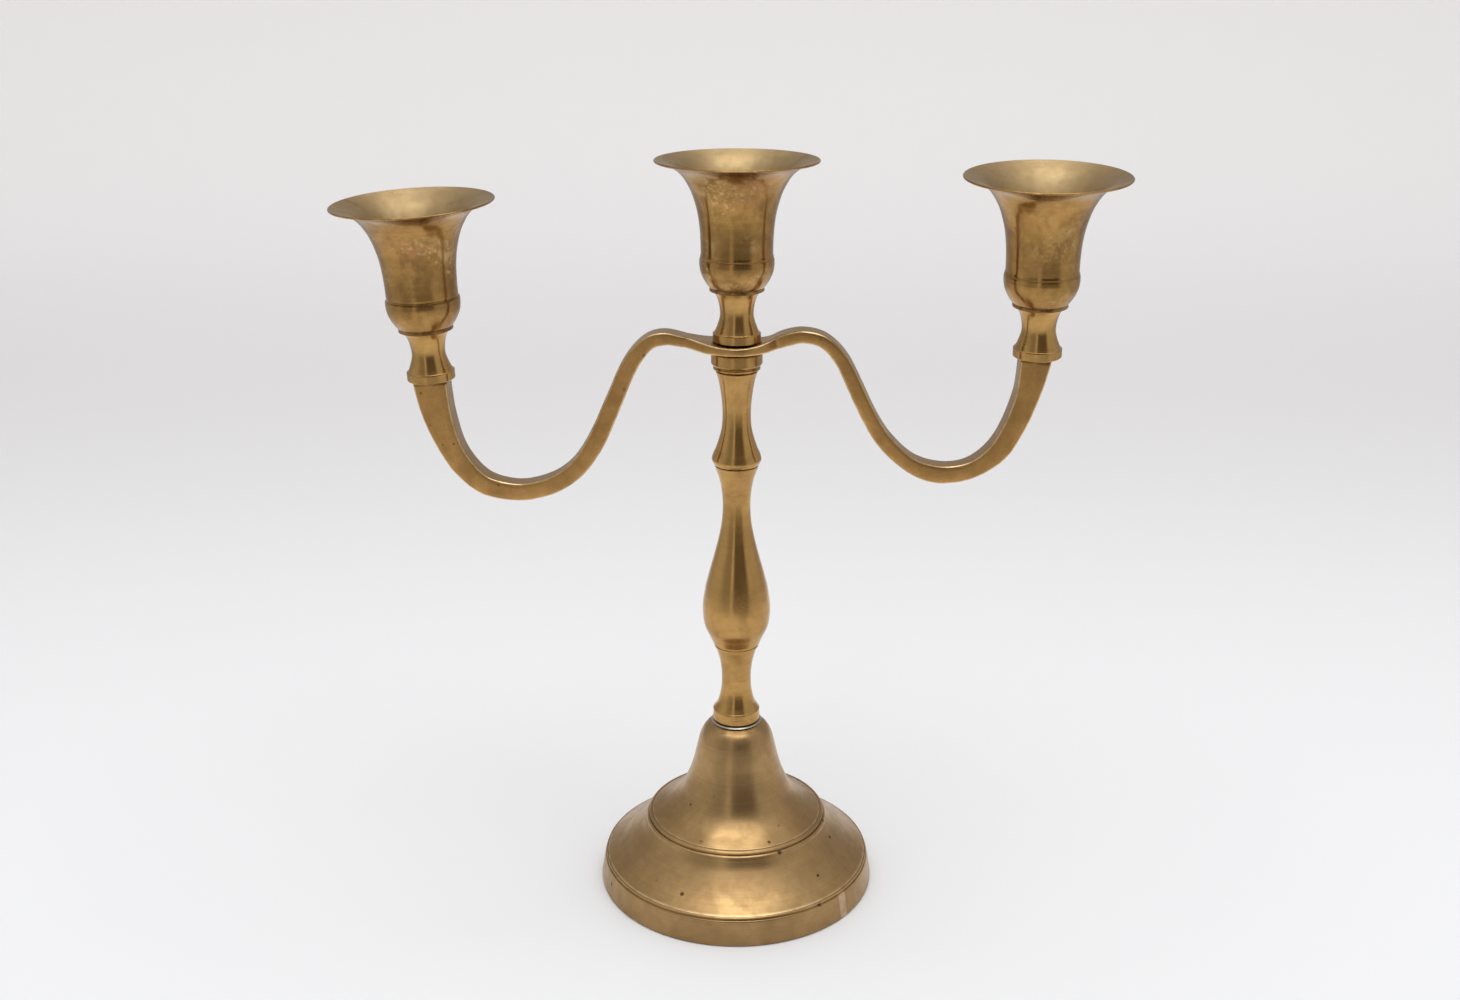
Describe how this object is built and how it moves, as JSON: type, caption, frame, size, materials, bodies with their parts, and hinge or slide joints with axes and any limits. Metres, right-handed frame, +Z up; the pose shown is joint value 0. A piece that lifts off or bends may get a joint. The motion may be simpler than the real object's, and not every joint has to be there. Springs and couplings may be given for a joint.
{
  "type": "tabletop candelabra",
  "caption": "Brass candelabra for taper candles: a turned column on a hollow bell foot carries a swan-neck yoke with a trumpet cup on each end and one on top.",
  "frame": {"origin": "centre of the foot ring where it rests on the table, on the column's axis", "axes": "+Z up the column, X along the two arms with the left cup at -X, -Y the front"},
  "size_m": [0.2957, 0.114, 0.3002],
  "materials": {
    "polished_brass": "turned and polished brass, lightly tarnished, thin bright lip",
    "turned_brass": "turned brass, satin to polished, fine lathe lines",
    "cast_brass": "cast brass, matt faces with rubbed bright edges",
    "satin_brass": "cast and turned brass, satin, browner, with small pits",
    "pale_metal": "thin plated washer",
    "steel": "plain zinc-plated steel fasteners"
  },
  "bodies": {
    "root": {"base": "satin_brass", "seat_washer": "pale_metal", "base_washer": "steel", "base_nut": "steel", "tie_rod": "steel", "baluster": "turned_brass", "spindle": "turned_brass", "centre_cup_stem": "turned_brass"},
    "arms": {"arm_yoke": "cast_brass", "left_stud": "steel", "right_stud": "steel", "left_cup_stem": "turned_brass", "right_cup_stem": "turned_brass"},
    "centre_cup": {"centre_cup": "polished_brass"},
    "left_cup": {"left_cup": "polished_brass"},
    "right_cup": {"right_cup": "polished_brass"}
  },
  "joints": [
    {"name": "arms_swivel", "type": "hinge", "parent": "root", "child": "arms", "pos_m": [0, 0, 0.22965], "axis": [0, 0, 1], "continuous": true},
    {"name": "centre_cup_turn", "type": "hinge", "parent": "root", "child": "centre_cup", "pos_m": [0, 0, 0.2514], "axis": [0, 0, 1], "continuous": true},
    {"name": "left_cup_turn", "type": "hinge", "parent": "arms", "child": "left_cup", "pos_m": [-0.11886, 0.00352, 0.23547], "axis": [-0.0436, -0.0297, 0.9986], "continuous": true},
    {"name": "right_cup_turn", "type": "hinge", "parent": "arms", "child": "right_cup", "pos_m": [0.11376, -0.00509, 0.24657], "axis": [-0.0122, -0.0558, 0.9984], "continuous": true}
  ]
}
